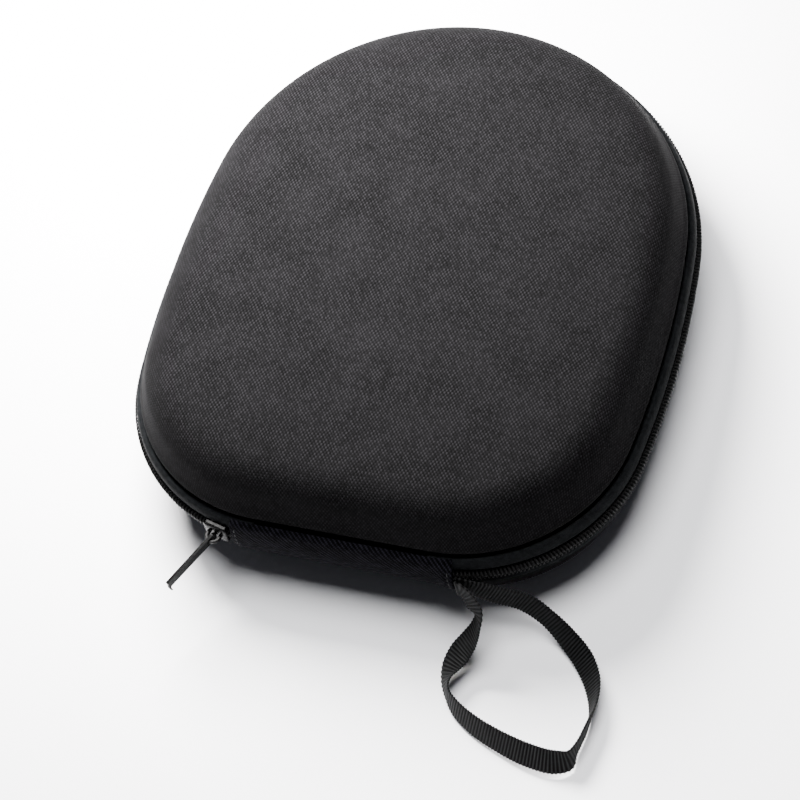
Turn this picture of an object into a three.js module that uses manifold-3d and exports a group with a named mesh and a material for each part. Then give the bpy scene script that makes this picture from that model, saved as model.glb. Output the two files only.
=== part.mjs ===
// Hard-shell headphone carrying case, closed and lying on its base.
// Millimetres, +Z up. The origin is the centre of the base's flat resting face.
// +Y runs from the fabric hinge to the domed end, +X is the case's right-hand side.

import * as THREE from "three";
import * as BufferGeometryUtils from "three/addons/utils/BufferGeometryUtils.js";
import Module from "manifold-3d";

const wasm = await Module();
wasm.setup();

// ---------------------------------------------------------------- driving dimensions

// Outline of the closed zip, seen from above: a flat hinge side, two wide corners,
// two nearly straight sides and one big dome.
const HINGE_FLAT = 33.3; // half length of the flat hinge side
const CORNER_RADIUS = 65;
const CORNER_TURN = 84.1;
const SIDE_RADIUS = 372;
const SIDE_TURN = 13.4;
const CORNER_STEPS = 12;
const SIDE_STEPS = 2;
const DOME_STEPS = 8;

// Heights, from the resting face and from the zip's mid-plane.
const HALF_HEIGHT = 31.8; // resting face to the zip, and zip to the lid's edge
const LID_CROWN = 3; // rise of the lid's middle above its edge

// Side wall of each shell, measured as inset from the outline and height from the zip.
const WALL_INSET = 3.2;
const WALL_START = 9.6;
const WALL_DRAFT = 19;
const EDGE_RADIUS = 13;
const EDGE_STEPS = 4;
const RIM_INSET = 4.5; // the rim under the zip tape
const RIM_HEIGHT = 5.4;
const GROOVE_HEIGHT = 8.6;
const CROWN_RING_INSET = 45;
const CROWN_RING_RISE = 0.87; // share of the crown reached at that ring

// The wall's layers.
const GAP = 0.3;
const COVER_THICK = 0.7;
const FOAM_THICK = 3.6;
const LINING_THICK = 0.6;
const FOAM_DEPTH = COVER_THICK + GAP;
const LINING_DEPTH = FOAM_DEPTH + FOAM_THICK + GAP;

// Zip slider.
const COIL_HALF = 3.15;
const SLIDER_ANGLE = 13.8; // around the left corner, from the end of the flat side
const SLIDER_HALF_LENGTH = 5;
const SLIDER_HALF_WIDTH = 4.3;
const PLATE_TOP = 1.4;
const PLATE_SHOULDER = 0.9; // where the plate's rounded top begins
const PLATE_UNDERSIDE = 0.35;
const FLANGE_BOTTOM = -0.85;
const FLANGE_THICK = 0.8;
const BACK_PLATE_TOP = -3.2;
const BACK_PLATE_THICK = 1.1;
const MOUTH_ROUNDING = 1.2; // plan corners of the end that faces the hinge strip
const TAIL_ROUNDING = 1;
const TAIL_NARROWING = 0.5;
const BAIL_PIVOT = 3;
const BAIL_INNER = 1.9;
const BAIL_OUTER = 3.1;
const BAIL_THICK = 1.3;

// Pull tab.
const TAB_HEADING = 27; // from the hinge side's normal, towards the case's left
const TAB_DROOP = 5;
const TAB_LENGTH = 24.6;
const TAB_WIDTH = 3.4;
const TAB_THICK = 1.1;
const TAB_BAR = 0.6;
const TAB_SLOT_END = 3.5;
const TAB_SLOT_HALF = 0.95;
const TAB_HOOK = 2.4;

// Hinge strip and strap.
const STRIP_LEFT = 42.4; // distance along the outline from the middle of the hinge side
const STRIP_RIGHT = 43;
const STRIP_SWELL = 2.4; // extra thickness over the strap's sewn ends
const STRIP_SWELL_RUN = 10;
const LINER_HALF = 30;
const STRAP_WIDTH = 10;
const STRAP_THICK = 1.2;
const STRAP_STEPS = 70;

// Net pocket in the lid.
const NET_INSET = 12.4;
const NET_LOW = 12;
const NET_THICK = 0.8;
const NET_END = 126;
const ELASTIC_WIDTH = 8;
const ELASTIC_THICK = 1.8;

// ---------------------------------------------------------------- materials

const FINISH = {
  nylon: { color: 0x3a393d, roughness: 0.85, metalness: 0 },
  foam: { color: 0x232326, roughness: 0.95, metalness: 0 },
  lining: { color: 0x2a2a2e, roughness: 1, metalness: 0 },
  tape: { color: 0x26262a, roughness: 0.7, metalness: 0 },
  coil: { color: 0x1b1b1d, roughness: 0.4, metalness: 0 },
  webbing: { color: 0x1c1c20, roughness: 0.8, metalness: 0 },
  strap: { color: 0x141415, roughness: 0.75, metalness: 0 },
  metal: { color: 0x2b2b2e, roughness: 0.25, metalness: 0.9 },
  net: { color: 0x202022, roughness: 0.9, metalness: 0 },
};

const radians = THREE.MathUtils.degToRad;

// The case is drawn with the hinge side at y = 0, and this group centres it.
const model = new THREE.Group();
model.name = "headphone_case";

function addPart(name, geometry, finish, parent = model) {
  const mesh = new THREE.Mesh(geometry, new THREE.MeshStandardMaterial(FINISH[finish]));
  mesh.name = name;
  parent.add(mesh);
  return mesh;
}

// ---------------------------------------------------------------- outline

// One half of the outline from the middle of the hinge side to the dome's top.
function halfOutline() {
  const stations = [{ x: 0, y: 0, nx: 0, ny: -1 }];
  let x = HINGE_FLAT;
  let y = 0;
  let heading = 0;
  stations.push({ x, y, nx: 0, ny: -1 });
  const follow = (radius, turn, steps) => {
    const centreX = x - radius * Math.sin(heading);
    const centreY = y + radius * Math.cos(heading);
    for (let i = 1; i <= steps; i += 1) {
      const h = heading + (turn * i) / steps;
      x = centreX + radius * Math.sin(h);
      y = centreY - radius * Math.cos(h);
      stations.push({ x, y, nx: Math.sin(h), ny: -Math.cos(h) });
    }
    heading += turn;
  };
  follow(CORNER_RADIUS, radians(CORNER_TURN), CORNER_STEPS);
  follow(SIDE_RADIUS, radians(SIDE_TURN), SIDE_STEPS);
  const domeTurn = Math.PI - heading;
  follow(x / Math.sin(domeTurn), domeTurn, DOME_STEPS);
  return stations;
}

const rightHalf = halfOutline();
const leftHalf = rightHalf
  .slice(1, -1)
  .map((s) => ({ ...s, x: -s.x, nx: -s.nx }))
  .reverse();
const outline = [...rightHalf, ...leftHalf];
const CASE_LENGTH = rightHalf[rightHalf.length - 1].y;

// A point set in from the outline and above the zip's mid-plane. side is 1 for the lid
// and -1 for the base.
function place(station, inset, height, side) {
  return new THREE.Vector3(
    station.x - inset * station.nx,
    station.y - inset * station.ny,
    HALF_HEIGHT + side * height,
  );
}

// The stretch of the outline between two distances, both counted from the middle of the
// hinge side: from going right, and until coming back to it from the left.
function stretch(from, until) {
  const loop = [...outline, outline[0]];
  const lengths = [0];
  for (let i = 1; i < loop.length; i += 1) {
    const run = Math.hypot(loop[i].x - loop[i - 1].x, loop[i].y - loop[i - 1].y);
    lengths.push(lengths[i - 1] + run);
  }
  const total = lengths[lengths.length - 1];
  const at = (distance) => {
    const s = ((distance % total) + total) % total;
    const i = Math.max(1, lengths.findIndex((value) => value > s));
    const t = (s - lengths[i - 1]) / (lengths[i] - lengths[i - 1]);
    const mix = (key) => loop[i - 1][key] * (1 - t) + loop[i][key] * t;
    return { x: mix("x"), y: mix("y"), nx: mix("nx"), ny: mix("ny"), s: distance };
  };
  const start = from;
  const end = until > from ? until : total + until;
  const stations = [at(start)];
  for (let turn = -1; turn <= 1; turn += 1) {
    for (let i = 0; i < outline.length; i += 1) {
      const s = lengths[i] + turn * total;
      if (s > start + 0.5 && s < end - 0.5) {
        stations.push({ ...outline[i], s });
      }
    }
  }
  stations.push(at(end));
  return stations;
}

// Distance along the outline to a place on a corner, given by its turn in degrees.
function cornerDistance(turn) {
  return HINGE_FLAT + radians(turn) * CORNER_RADIUS;
}

// ---------------------------------------------------------------- solids

// Closed geometry from vertices and triangles, turned so that its faces point out.
function solid(vertices, triangles) {
  let volume = 0;
  const cross = new THREE.Vector3();
  for (const [a, b, c] of triangles) {
    volume += vertices[a].dot(cross.crossVectors(vertices[b], vertices[c]));
  }
  const facing = volume > 0 ? triangles : triangles.map(([a, b, c]) => [a, c, b]);
  const geometry = new THREE.BufferGeometry();
  const numbers = vertices.flatMap((v) => [v.x, v.y, v.z]);
  geometry.setAttribute("position", new THREE.Float32BufferAttribute(numbers, 3));
  geometry.setIndex(facing.flat());
  geometry.computeVertexNormals();
  return geometry;
}

// Two triangles between neighbouring points of neighbouring rings.
function band(triangles, lower, upper, count, wrap) {
  const last = wrap ? count : count - 1;
  for (let i = 0; i < last; i += 1) {
    const j = (i + 1) % count;
    triangles.push([lower + i, lower + j, upper + j], [lower + i, upper + j, upper + i]);
  }
}

// A bar of changing section: rings of points, with flat ends or closed on itself.
function loft(rings, closed) {
  const count = rings[0].length;
  const vertices = rings.flat();
  const triangles = [];
  const last = closed ? rings.length : rings.length - 1;
  for (let r = 0; r < last; r += 1) {
    band(triangles, r * count, ((r + 1) % rings.length) * count, count, true);
  }
  if (!closed) {
    const end = (rings.length - 1) * count;
    for (const [a, b, c] of capTriangles(rings[0])) {
      triangles.push([a, c, b]);
    }
    for (const [a, b, c] of capTriangles(rings[rings.length - 1])) {
      triangles.push([end + a, end + b, end + c]);
    }
  }
  return solid(vertices, triangles);
}

// Triangles that fill a flat ring, which may be concave.
function capTriangles(ring) {
  const normal = new THREE.Vector3();
  for (let i = 0; i < ring.length; i += 1) {
    normal.add(new THREE.Vector3().crossVectors(ring[i], ring[(i + 1) % ring.length]));
  }
  normal.normalize();
  const across = new THREE.Vector3().subVectors(ring[1], ring[0]).normalize();
  const up = new THREE.Vector3().crossVectors(normal, across);
  const flat = ring.map((p) => new THREE.Vector2(p.dot(across), p.dot(up)));
  return THREE.ShapeUtils.triangulateShape(flat, []);
}

// A section, as [inset, height] points, carried along stretches of the outline.
function strip(stations, side, section, closed = false) {
  const rings = stations.map((station) => {
    const points = typeof section === "function" ? section(station) : section;
    return points.map(([inset, height]) => place(station, inset, height, side));
  });
  return loft(rings, closed);
}

// A dish from a profile that runs from the rim's outside over the wall to the middle
// on the outside, and from the rim's inside to the middle on the inside.
function dish(side, outer, inner, outerMiddle, innerMiddle) {
  const count = outline.length;
  const profile = [...outer.slice().reverse(), ...inner];
  const vertices = profile.flatMap(([inset, height]) =>
    outline.map((station) => place(station, inset, height, side)),
  );
  const triangles = [];
  for (let r = 0; r < profile.length - 1; r += 1) {
    band(triangles, r * count, (r + 1) * count, count, true);
  }
  const middle = vertices.length;
  const lastRing = (profile.length - 1) * count;
  vertices.push(new THREE.Vector3(0, CASE_LENGTH / 2, HALF_HEIGHT + side * outerMiddle));
  vertices.push(new THREE.Vector3(0, CASE_LENGTH / 2, HALF_HEIGHT + side * innerMiddle));
  for (let i = 0; i < count; i += 1) {
    const j = (i + 1) % count;
    triangles.push([middle, j, i], [middle + 1, lastRing + i, lastRing + j]);
  }
  return solid(vertices, triangles);
}

function toManifold(geometry) {
  const plain = geometry.clone();
  plain.deleteAttribute("normal");
  plain.deleteAttribute("uv");
  const merged = BufferGeometryUtils.mergeVertices(plain, 1e-4);
  return new wasm.Manifold(
    new wasm.Mesh({
      numProp: 3,
      vertProperties: new Float32Array(merged.attributes.position.array),
      triVerts: new Uint32Array(merged.index.array),
    }),
  );
}

function fromManifold(manifold) {
  const mesh = manifold.getMesh();
  const geometry = new THREE.BufferGeometry();
  geometry.setAttribute("position", new THREE.BufferAttribute(mesh.vertProperties, 3));
  geometry.setIndex(new THREE.BufferAttribute(mesh.triVerts, 1));
  geometry.computeVertexNormals();
  return geometry;
}

// ---------------------------------------------------------------- shells

const draft = radians(WALL_DRAFT);
const edgeHeight = HALF_HEIGHT - EDGE_RADIUS;
const edgeInset =
  WALL_INSET + (edgeHeight - WALL_START) * Math.tan(draft) + EDGE_RADIUS / Math.cos(draft);

// The rounded edge and the start of the crown of a surface that lies depth below the
// case's outer face.
function edgeProfile(depth, crown) {
  const points = [];
  for (let i = 0; i <= EDGE_STEPS; i += 1) {
    const t = draft + ((Math.PI / 2 - draft) * i) / EDGE_STEPS;
    const radius = EDGE_RADIUS - depth;
    points.push([edgeInset - radius * Math.cos(t), edgeHeight + radius * Math.sin(t)]);
  }
  if (crown > 0) {
    points.push([CROWN_RING_INSET, HALF_HEIGHT - depth + crown * CROWN_RING_RISE]);
  }
  return points;
}

// Outer faces follow the rim, the groove under the zip tape and the wall above it.
function grooveProfile(depth, crown) {
  return [
    [RIM_INSET + depth, RIM_HEIGHT],
    [RIM_INSET + depth, GROOVE_HEIGHT],
    [WALL_INSET + depth, WALL_START],
    ...edgeProfile(depth, crown),
  ];
}

// Inner faces run straight up from the rim.
function straightProfile(depth, crown) {
  return [[RIM_INSET + depth, RIM_HEIGHT], ...edgeProfile(depth, crown)];
}

function shellLayer(side, crown, outerDepth, innerDepth, outerShape, innerShape) {
  return dish(
    side,
    outerShape(outerDepth, crown),
    innerShape(innerDepth, crown),
    HALF_HEIGHT - outerDepth + crown,
    HALF_HEIGHT - innerDepth + crown,
  );
}

function addShell(prefix, side, crown) {
  const cover = shellLayer(side, crown, 0, COVER_THICK, grooveProfile, grooveProfile);
  const foamInner = FOAM_DEPTH + FOAM_THICK;
  const foam = shellLayer(side, crown, FOAM_DEPTH, foamInner, grooveProfile, straightProfile);
  const liningInner = LINING_DEPTH + LINING_THICK;
  const lining = shellLayer(side, crown, LINING_DEPTH, liningInner, straightProfile, straightProfile);
  addPart(`${prefix}_cover`, cover, "nylon");
  addPart(`${prefix}_shell`, foam, "foam");
  addPart(`${prefix}_lining`, lining, "lining");
}

addShell("base", -1, 0);
addShell("lid", 1, LID_CROWN);

// ---------------------------------------------------------------- zip, binding, hinge

// Zip tape: sewn down in the groove, rolled over the rim, its edge in the slider's slot.
const TAPE_SECTION = [
  [1.6, 3.45],
  [1.05, 4.8],
  [1.0, 6.3],
  [1.6, 8.0],
  [2.9, 8.9],
  [4.2, 8.3],
  [4.2, 5.3],
  [2.6, 4.9],
  [2.6, 3.45],
];

// One side of the closed coil chain.
const COIL_SECTION = [
  [0, 0.2],
  [0, 2.8],
  [0.4, COIL_HALF],
  [2.4, COIL_HALF],
  [2.4, 0.2],
];

// Binding tape round the raw edge of the shell and its lining.
const BINDING_SECTION = [
  [4.8, 4.6],
  [11, 4.6],
  [12.4, 11],
  [11.7, 11],
  [10.4, 5.1],
  [4.8, 5.1],
];

const coilStart = cornerDistance(7);
const parkingEnd = cornerDistance(19);
const zipStretch = stretch(HINGE_FLAT, -HINGE_FLAT);

for (const [prefix, side, leftEnd] of [
  ["base", -1, coilStart],
  ["lid", 1, parkingEnd],
]) {
  addPart(`${prefix}_zip_tape`, strip(zipStretch, side, TAPE_SECTION), "tape");
  addPart(`${prefix}_zip_coil`, strip(stretch(coilStart, -leftEnd), side, COIL_SECTION), "coil");
  addPart(`${prefix}_binding`, strip(outline, side, BINDING_SECTION, true), "tape");
}

// Woven hinge strip outside, sewn down along both grooves. Its right end swells over the
// two sewn ends of the strap.
function hingeSection(station) {
  const run = (station.s - (STRIP_RIGHT - STRIP_SWELL_RUN)) / STRIP_SWELL_RUN;
  const swell = STRIP_SWELL * THREE.MathUtils.smoothstep(run, 0, 1);
  const outer = [
    [0.9, 8.7],
    [0.1 - swell * 0.3, 7.4],
    [-0.5 - swell * 0.7, 5.4],
    [-1.0 - swell, 3],
    [-1.2 - swell, 0],
  ];
  const inner = [
    [-0.35, 0],
    [-0.3, 3.2],
    [0.6, 6],
    [1.1, 8.1],
  ];
  const mirror = ([inset, height]) => [inset, -height];
  return [
    ...outer,
    ...outer.slice(0, -1).reverse().map(mirror),
    ...inner.slice(1).reverse().map(mirror),
    ...inner,
  ];
}

addPart("hinge_strip", strip(stretch(-STRIP_LEFT, STRIP_RIGHT), 1, hingeSection), "webbing");

// Folded lining strip inside, between the two rims.
const LINER_SECTION = [
  [10.6, 4.25],
  [1.2, 4.25],
  [1.2, -4.25],
  [10.6, -4.25],
  [10.6, -3.65],
  [1.8, -3.65],
  [1.8, 3.65],
  [10.6, 3.65],
];

addPart("hinge_liner", strip(stretch(-LINER_HALF, LINER_HALF), 1, LINER_SECTION), "lining");

// ---------------------------------------------------------------- slider and pull tab

// X runs along the zip away from the hinge strip, Y out of the case, Z up.
const sliderGroup = new THREE.Group();
const sliderTurn = radians(SLIDER_ANGLE);
sliderGroup.position.set(
  -HINGE_FLAT - CORNER_RADIUS * Math.sin(sliderTurn),
  CORNER_RADIUS - CORNER_RADIUS * Math.cos(sliderTurn),
  HALF_HEIGHT,
);
sliderGroup.rotation.z = Math.PI - sliderTurn;
model.add(sliderGroup);

function extrude(shape, depth, curveSegments = 1) {
  return new THREE.ExtrudeGeometry(shape, { depth, bevelEnabled: false, curveSegments });
}

function extrudePoints(points, depth) {
  return extrude(new THREE.Shape(points.map(([x, y]) => new THREE.Vector2(x, y))), depth);
}

// Outer plate with its two flanges: a channel section carried along the zip.
function sliderBody() {
  const lip = SLIDER_HALF_WIDTH - FLANGE_THICK;
  const channel = [
    [FLANGE_BOTTOM, -SLIDER_HALF_WIDTH],
    [PLATE_SHOULDER, -SLIDER_HALF_WIDTH],
    [PLATE_TOP, -lip],
    [PLATE_TOP, lip],
    [PLATE_SHOULDER, SLIDER_HALF_WIDTH],
    [FLANGE_BOTTOM, SLIDER_HALF_WIDTH],
    [FLANGE_BOTTOM, lip],
    [PLATE_UNDERSIDE, lip],
    [PLATE_UNDERSIDE, -lip],
    [FLANGE_BOTTOM, -lip],
  ];
  const bar = extrudePoints(channel, 2 * SLIDER_HALF_LENGTH);
  bar.translate(0, 0, -SLIDER_HALF_LENGTH);
  // Section X, Y and run Z become the slider's Y, Z and X.
  bar.applyMatrix4(new THREE.Matrix4().set(0, 0, 1, 0, 1, 0, 0, 0, 0, 1, 0, 0, 0, 0, 0, 1));
  const plan = sliderPlan(FLANGE_BOTTOM - 1, PLATE_TOP + 1);
  return fromManifold(toManifold(bar).intersect(toManifold(plan)));
}

// Plan outline of a slider plate, extruded along Y from one height to another: broad
// shoulders at the mouth, by the hinge strip, and a narrower tail.
function sliderPlan(low, high) {
  const mouth = -SLIDER_HALF_LENGTH + MOUTH_ROUNDING;
  const mouthSide = SLIDER_HALF_WIDTH - MOUTH_ROUNDING;
  const tail = SLIDER_HALF_LENGTH - TAIL_ROUNDING;
  const tailSide = SLIDER_HALF_WIDTH - TAIL_NARROWING - TAIL_ROUNDING;
  const shape = new THREE.Shape();
  shape.moveTo(mouth, -SLIDER_HALF_WIDTH);
  shape.lineTo(0, -SLIDER_HALF_WIDTH);
  shape.absarc(tail, -tailSide, TAIL_ROUNDING, -Math.PI / 2, 0, false);
  shape.absarc(tail, tailSide, TAIL_ROUNDING, 0, Math.PI / 2, false);
  shape.lineTo(0, SLIDER_HALF_WIDTH);
  shape.absarc(mouth, mouthSide, MOUTH_ROUNDING, Math.PI / 2, Math.PI, false);
  shape.absarc(mouth, -mouthSide, MOUTH_ROUNDING, Math.PI, Math.PI * 1.5, false);
  const plan = extrude(shape, high - low, 3);
  plan.rotateX(Math.PI / 2);
  plan.translate(0, high, 0);
  return plan;
}

addPart("slider_body", sliderBody(), "metal", sliderGroup);
const backPlate = sliderPlan(BACK_PLATE_TOP - BACK_PLATE_THICK, BACK_PLATE_TOP);
addPart("slider_back_plate", backPlate, "metal", sliderGroup);

// Round-topped loop that holds the tab, standing on the outer plate.
function sliderBail() {
  const foot = PLATE_TOP + GAP;
  const shape = new THREE.Shape();
  shape.moveTo(BAIL_OUTER, foot);
  shape.absarc(0, BAIL_PIVOT, BAIL_OUTER, 0, Math.PI, false);
  shape.lineTo(-BAIL_OUTER, foot);
  shape.lineTo(-BAIL_INNER, foot);
  shape.absarc(0, BAIL_PIVOT, BAIL_INNER, Math.PI, 0, true);
  shape.lineTo(BAIL_INNER, foot);
  const bail = extrude(shape, BAIL_THICK, 8);
  bail.translate(0, 0, -BAIL_THICK / 2);
  return bail;
}

addPart("slider_bail", sliderBail(), "metal", sliderGroup);

// The tab's bar passes through the bail and turns in it about Z. Its length runs along
// the group's X and its width along Z.
const tabGroup = new THREE.Group();
tabGroup.position.set(0, BAIL_PIVOT, 0);
tabGroup.rotation.z = Math.PI / 2 - radians(TAB_HEADING - SLIDER_ANGLE);
const tabTilt = new THREE.Group();
tabTilt.rotation.y = radians(TAB_DROOP);
tabGroup.add(tabTilt);
sliderGroup.add(tabGroup);

function pullTab() {
  const half = TAB_WIDTH / 2;
  const shape = new THREE.Shape();
  shape.moveTo(-TAB_BAR, -half);
  shape.lineTo(TAB_LENGTH, -half);
  shape.lineTo(TAB_LENGTH + TAB_HOOK, -half - TAB_HOOK * 0.8);
  shape.lineTo(TAB_LENGTH + TAB_HOOK * 0.9, -half + 0.4);
  shape.lineTo(TAB_LENGTH, half);
  shape.lineTo(-TAB_BAR, half);
  const slot = new THREE.Path();
  slot.moveTo(TAB_BAR, -TAB_SLOT_HALF);
  slot.lineTo(TAB_BAR, TAB_SLOT_HALF);
  slot.lineTo(TAB_SLOT_END, TAB_SLOT_HALF);
  slot.lineTo(TAB_SLOT_END, -TAB_SLOT_HALF);
  shape.holes.push(slot);
  const tab = extrude(shape, TAB_THICK);
  tab.translate(0, 0, -TAB_THICK / 2);
  tab.rotateX(Math.PI / 2);
  return tab;
}

addPart("pull_tab", pullTab(), "metal", tabTilt);

// ---------------------------------------------------------------- wrist strap

// Centre line of the folded webbing, and the direction across it from its lower edge to
// its upper edge. Both ends are sewn under the right end of the hinge strip, the outer
// one first, and the loop stands on its edge on the surface under the case.
const STRAP_ROUTE = [
  { at: [43.8, -2.6, 29.6], across: [0, 0, 1] },
  { at: [46, -3, 29.5], across: [0, 0, 1] },
  { at: [49, -4.6, 27.8], across: [0.45, -0.1, 0.88] },
  { at: [51.6, -7, 24.8], across: [0.72, -0.3, 0.62] },
  { at: [52.9, -9, 21.6], across: [0.42, -0.47, 0.77] },
  { at: [52, -11.3, 17.4], across: [0.58, -0.48, 0.66] },
  { at: [49.8, -14.5, 13.4], across: [0.8, -0.42, 0.42] },
  { at: [46.8, -18.6, 10], across: [0.93, -0.26, 0.26] },
  { at: [44.6, -23.4, 7.8], across: [0.82, -0.16, 0.5] },
  { at: [44, -28.4, 6.5], across: [0.5, -0.1, 0.85] },
  { at: [45.6, -33, 5.8], across: [0.24, 0, 0.97] },
  { at: [49.6, -37.6, 5.6], across: [0.24, 0.18, 0.95] },
  { at: [58.4, -43.1, 5.4], across: [0.25, 0.35, 0.9] },
  { at: [69.4, -47.4, 5.3], across: [0.18, 0.5, 0.85] },
  { at: [80.3, -50.3, 5.4], across: [0.05, 0.62, 0.78] },
  { at: [90.4, -51.2, 5.6], across: [-0.12, 0.6, 0.79] },
  { at: [95.8, -49.2, 5.6], across: [-0.1, 0.35, 0.93] },
  { at: [97.4, -44, 5.7], across: [0.1, 0.06, 0.99] },
  { at: [98.7, -36, 5.7], across: [0.16, 0, 0.98] },
  { at: [99, -28, 5.6], across: [0.36, 0.06, 0.93] },
  { at: [96.6, -19, 5], across: [0.56, 0.27, 0.78] },
  { at: [91, -10.2, 4.9], across: [0.64, 0.38, 0.67] },
  { at: [83.4, -3.6, 6.8], across: [0.63, 0.3, 0.72] },
  { at: [75.5, 0.8, 11.4], across: [0.6, 0.18, 0.77] },
  { at: [66.9, 2.6, 17.4], across: [0.5, 0.26, 0.8] },
  { at: [58.3, 0.8, 23.4], across: [0.36, 0.24, 0.88] },
  { at: [51, -0.7, 27.8], across: [0.2, 0.08, 0.97] },
  { at: [46.4, -1.05, 29.5], across: [0, 0, 1] },
  { at: [43.8, -1.05, 29.6], across: [0, 0, 1] },
];

function strapGeometry() {
  const centre = new THREE.CatmullRomCurve3(
    STRAP_ROUTE.map(({ at }) => new THREE.Vector3(...at)),
    false,
    "centripetal",
  );
  const edgePoints = STRAP_ROUTE.map(({ at, across }) =>
    new THREE.Vector3(...across).normalize().add(new THREE.Vector3(...at)),
  );
  const edge = new THREE.CatmullRomCurve3(edgePoints, false, "centripetal");
  const rings = [];
  for (let i = 0; i <= STRAP_STEPS; i += 1) {
    const t = i / STRAP_STEPS;
    const at = centre.getPoint(t);
    const tangent = centre.getTangent(t);
    const across = edge.getPoint(t).sub(at);
    across.addScaledVector(tangent, -across.dot(tangent)).setLength(STRAP_WIDTH / 2);
    const face = new THREE.Vector3().crossVectors(tangent, across).setLength(STRAP_THICK / 2);
    rings.push(
      [
        [1, 1],
        [1, -1],
        [-1, -1],
        [-1, 1],
      ].map(([u, v]) => at.clone().addScaledVector(across, u).addScaledVector(face, v)),
    );
  }
  return loft(rings, false);
}

addPart("wrist_strap", strapGeometry(), "strap");

// ---------------------------------------------------------------- net pocket in the lid

// Slice of the lid's inside between two distances from the hinge side.
function pocketPiece(from, until, low, thick) {
  const inside = extrudePoints(
    outline.map((s) => [s.x - NET_INSET * s.nx, s.y - NET_INSET * s.ny]),
    thick,
  );
  inside.translate(0, 0, HALF_HEIGHT + low);
  const window = new THREE.BoxGeometry(2 * CASE_LENGTH, until - from, 4 * thick);
  window.translate(0, (from + until) / 2, HALF_HEIGHT + low);
  return fromManifold(toManifold(inside).intersect(toManifold(window)));
}

addPart("lid_pocket_net", pocketPiece(0, NET_END, NET_LOW, NET_THICK), "net");

const elasticStart = NET_END + GAP;
const elasticLow = NET_LOW + (NET_THICK - ELASTIC_THICK) / 2;
const elastic = pocketPiece(elasticStart, elasticStart + ELASTIC_WIDTH, elasticLow, ELASTIC_THICK);
addPart("lid_pocket_elastic", elastic, "tape");

model.position.set(0, -CASE_LENGTH / 2, 0);

export default model;
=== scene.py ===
"""Looks of a hard-shell headphone case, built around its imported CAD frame.

Lengths are in millimetres until a mesh is made, in the CAD frame: +Z out of the lid,
+Y from the hinge to the domed end, +X to the side where the strap is sewn.
"""

import math

import bmesh
import bpy
import numpy as np
from mathutils import Matrix, Vector


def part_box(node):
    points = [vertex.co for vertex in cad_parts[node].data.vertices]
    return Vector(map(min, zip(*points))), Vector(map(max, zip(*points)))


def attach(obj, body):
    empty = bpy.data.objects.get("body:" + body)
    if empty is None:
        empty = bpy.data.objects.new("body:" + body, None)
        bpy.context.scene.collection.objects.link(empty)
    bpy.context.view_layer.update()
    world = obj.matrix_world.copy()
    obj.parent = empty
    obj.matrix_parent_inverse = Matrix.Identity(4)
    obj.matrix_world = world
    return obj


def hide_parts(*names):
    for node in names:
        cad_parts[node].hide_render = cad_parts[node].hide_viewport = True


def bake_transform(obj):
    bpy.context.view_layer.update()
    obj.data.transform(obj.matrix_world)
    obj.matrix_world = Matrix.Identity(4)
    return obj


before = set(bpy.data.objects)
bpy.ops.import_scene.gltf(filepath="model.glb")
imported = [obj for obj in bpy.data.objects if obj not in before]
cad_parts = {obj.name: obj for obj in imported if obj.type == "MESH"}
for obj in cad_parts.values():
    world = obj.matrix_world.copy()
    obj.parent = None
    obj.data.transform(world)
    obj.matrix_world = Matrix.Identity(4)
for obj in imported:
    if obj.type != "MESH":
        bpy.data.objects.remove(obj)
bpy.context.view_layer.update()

MM = 0.001

# -------- driving dimensions

# The outline of the closed zip: a flat hinge side, two corners, two sides and a dome.
HINGE_FLAT = 33.3
CORNER_RADIUS = 65.0
CORNER_TURN = math.radians(84.1)
SIDE_RADIUS = 372.0
SIDE_TURN = math.radians(13.4)

# The zip's mid-plane lies halfway between the two skins, and the base is as deep as the
# lid's edge. The lid's middle stands a little above that.
BASE_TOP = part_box("base_cover")[1].z / MM
LID_LOW, LID_HIGH = (corner.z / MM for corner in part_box("lid_cover"))
HALF_HEIGHT = (BASE_TOP + LID_LOW) / 2
LID_CROWN = LID_HIGH - 2 * HALF_HEIGHT

# The wall's section, as insets from the outline and heights from the zip's mid-plane.
WALL_INSET = 3.2
WALL_START = 9.6
WALL_DRAFT = math.radians(20)
EDGE_RADIUS = 16.0
CROWN_RUN = 41.0  # from the rounded edge to where the face has its full crown
RIM_INSET = 4.5
RIM_HEIGHT = 5.4
GROOVE_HEIGHT = 8.6

# The wall's layers, from outside to inside.
COVER_THICK = 0.7
FOAM_DEPTH = 1.0
FOAM_THICK = 3.6
LINING_DEPTH = 4.9
LINING_THICK = 0.6

# Meshes: the step along the outline, and the rows over the edge and over the face.
OUTLINE_STEP = 1.5
FACE_ROWS = 16
HIDDEN_ROWS = 8
FLAT_AREA = 1.2e-6  # square metres; larger faces of a bevelled piece are shaded flat

# Cloth.
NYLON_PITCH = (0.69, 0.946)
CLOTH_TURN = math.radians(2.7)
TAPE_PITCH = (0.42, 0.36)
BINDING_PITCH = (0.60, 0.50)
TWILL_PITCH = 2.0
TWILL_THREAD = 1.1

# Zip chain. It starts under the ends of the hinge strip, and the lid's side stops where
# the parked slider ends.
COIL_PITCH = 1.45
COIL_WIRE = 0.35
COIL_INSET, COIL_HEIGHT = 0.62, 0.95  # the middle of each side's spiral
COIL_DEPTH, COIL_RISE = 1.0, 1.15  # half its depth and half its height
COIL_START = HINGE_FLAT + math.radians(7) * CORNER_RADIUS
PARKING_END = HINGE_FLAT + math.radians(18.6) * CORNER_RADIUS

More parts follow.
